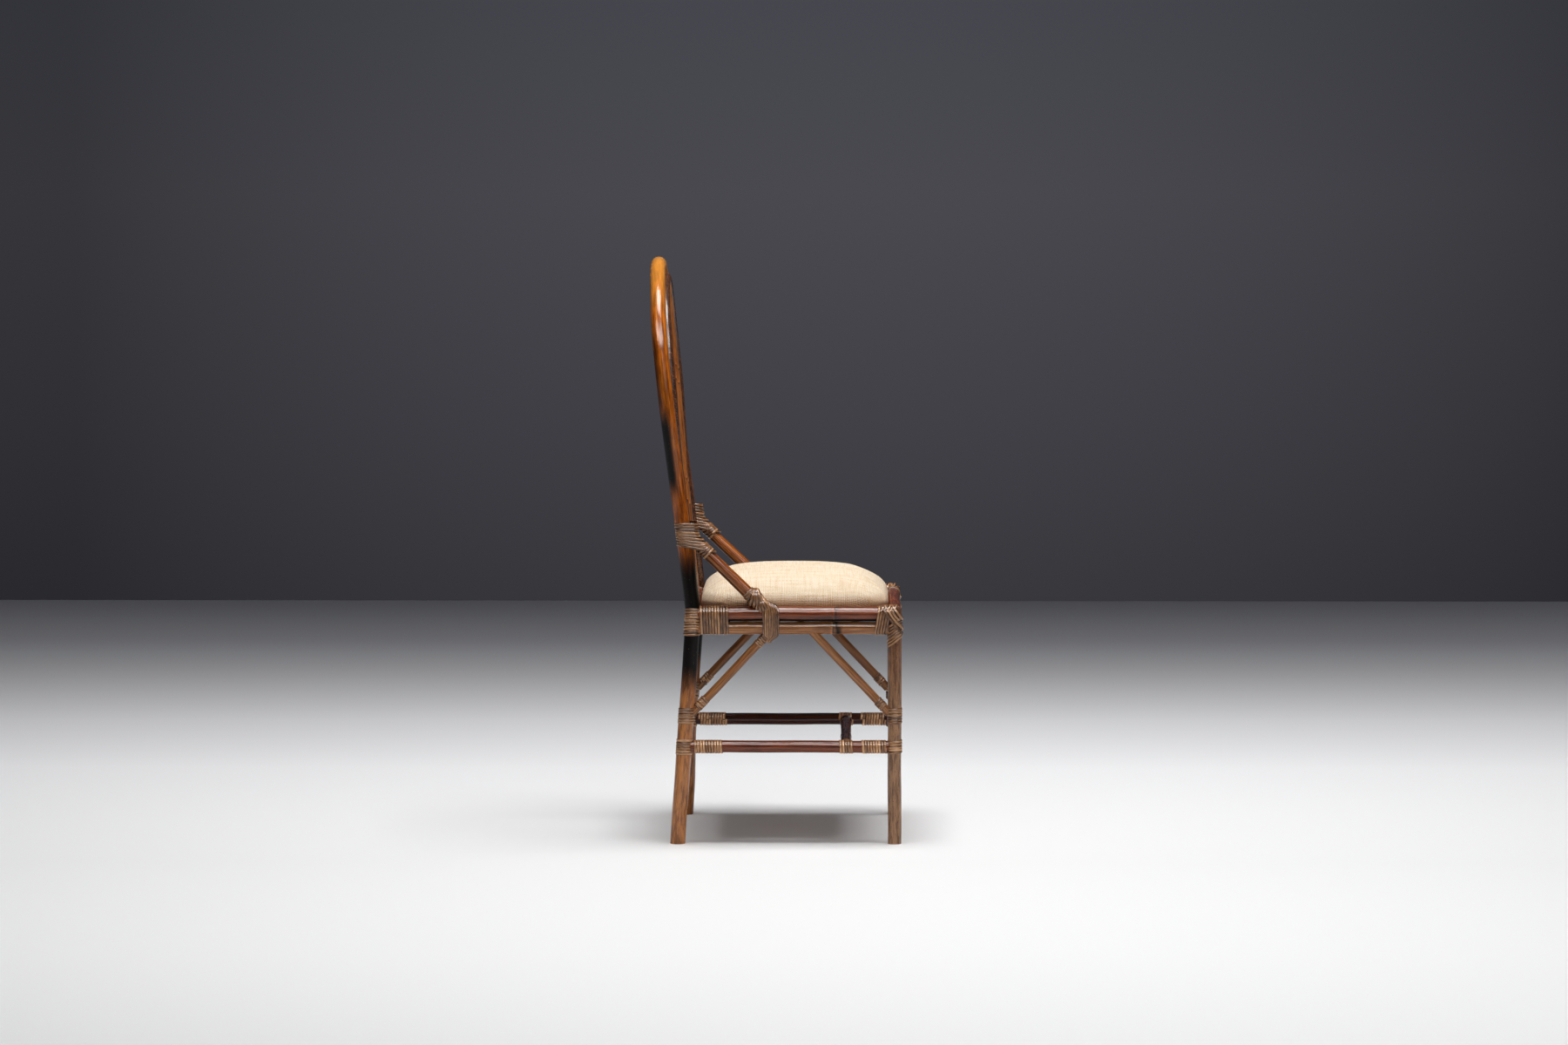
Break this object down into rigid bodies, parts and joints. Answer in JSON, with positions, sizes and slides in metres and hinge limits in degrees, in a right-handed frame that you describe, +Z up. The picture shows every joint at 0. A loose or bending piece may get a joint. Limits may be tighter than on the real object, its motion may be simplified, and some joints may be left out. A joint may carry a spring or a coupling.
{
  "type": "bamboo side chair",
  "caption": "Side chair of lashed bamboo poles with a tall arched back, sloping arm braces, diagonal struts and a drop-in woven seat cushion.",
  "frame": {"origin": "on the floor under the middle of the chair's overall box", "axes": "+Z up, the front of the seat faces -Y, +X is the sitter's left"},
  "size_m": [0.48, 0.469, 1.08],
  "materials": {
    "bamboo_amber": "glossy lacquer over amber bamboo with scorched patches",
    "bamboo_brown": "satin lacquer over brown bamboo",
    "bamboo_dark": "glossy dark red-brown lacquer",
    "bamboo_tan": "satin lacquer over tan bamboo",
    "peel": "satin grey-brown strips of rattan peel",
    "plywood": "bare plywood",
    "foam": "upholstery foam",
    "raffia": "cream woven raffia",
    "dowel_wood": "bare beech",
    "screw_steel": "zinc-plated steel"
  },
  "bodies": {
    "root": {"back_hoop": "bamboo_amber", "back_arch": "bamboo_tan", "back_cane_1": "bamboo_tan", "back_cane_2": "bamboo_tan", "back_cane_3": "bamboo_tan", "back_cane_4": "bamboo_tan", "back_cane_5": "bamboo_tan", "left_front_leg": "bamboo_brown", "right_front_leg": "bamboo_brown", "left_upper_rail": "bamboo_dark", "right_upper_rail": "bamboo_dark", "left_lower_rail": "bamboo_tan", "right_lower_rail": "bamboo_tan", "front_upper_rail": "bamboo_dark", "front_lower_rail": "bamboo_tan", "rear_upper_rail": "bamboo_dark", "rear_lower_rail": "bamboo_tan", "left_arm_brace": "bamboo_amber", "right_arm_brace": "bamboo_amber", "left_front_strut": "bamboo_tan", "right_front_strut": "bamboo_tan", "left_rear_strut": "bamboo_tan", "right_rear_strut": "bamboo_tan", "left_stretcher": "bamboo_dark", "right_stretcher": "bamboo_dark", "cross_stretcher": "bamboo_dark", "seat_pole_1": "bamboo_tan", "seat_pole_2": "bamboo_tan", "seat_pole_3": "bamboo_tan", "seat_board": "plywood", "seat_pad": "foam", "seat_cover": "raffia", "frame_dowels": "dowel_wood", "seat_screws": "screw_steel", "arm_top_bindings": "peel", "arm_foot_bindings": "peel", "rear_strut_top_bindings": "peel", "rear_post_bindings": "peel", "side_rail_bindings": "peel", "front_corner_bindings": "peel", "front_rail_bindings": "peel", "rear_rail_bindings": "peel", "rear_strut_foot_bindings": "peel", "front_strut_foot_bindings": "peel", "rear_stretcher_bindings": "peel", "front_stretcher_bindings": "peel", "cross_stretcher_bindings": "peel"}
  },
  "joints": []
}
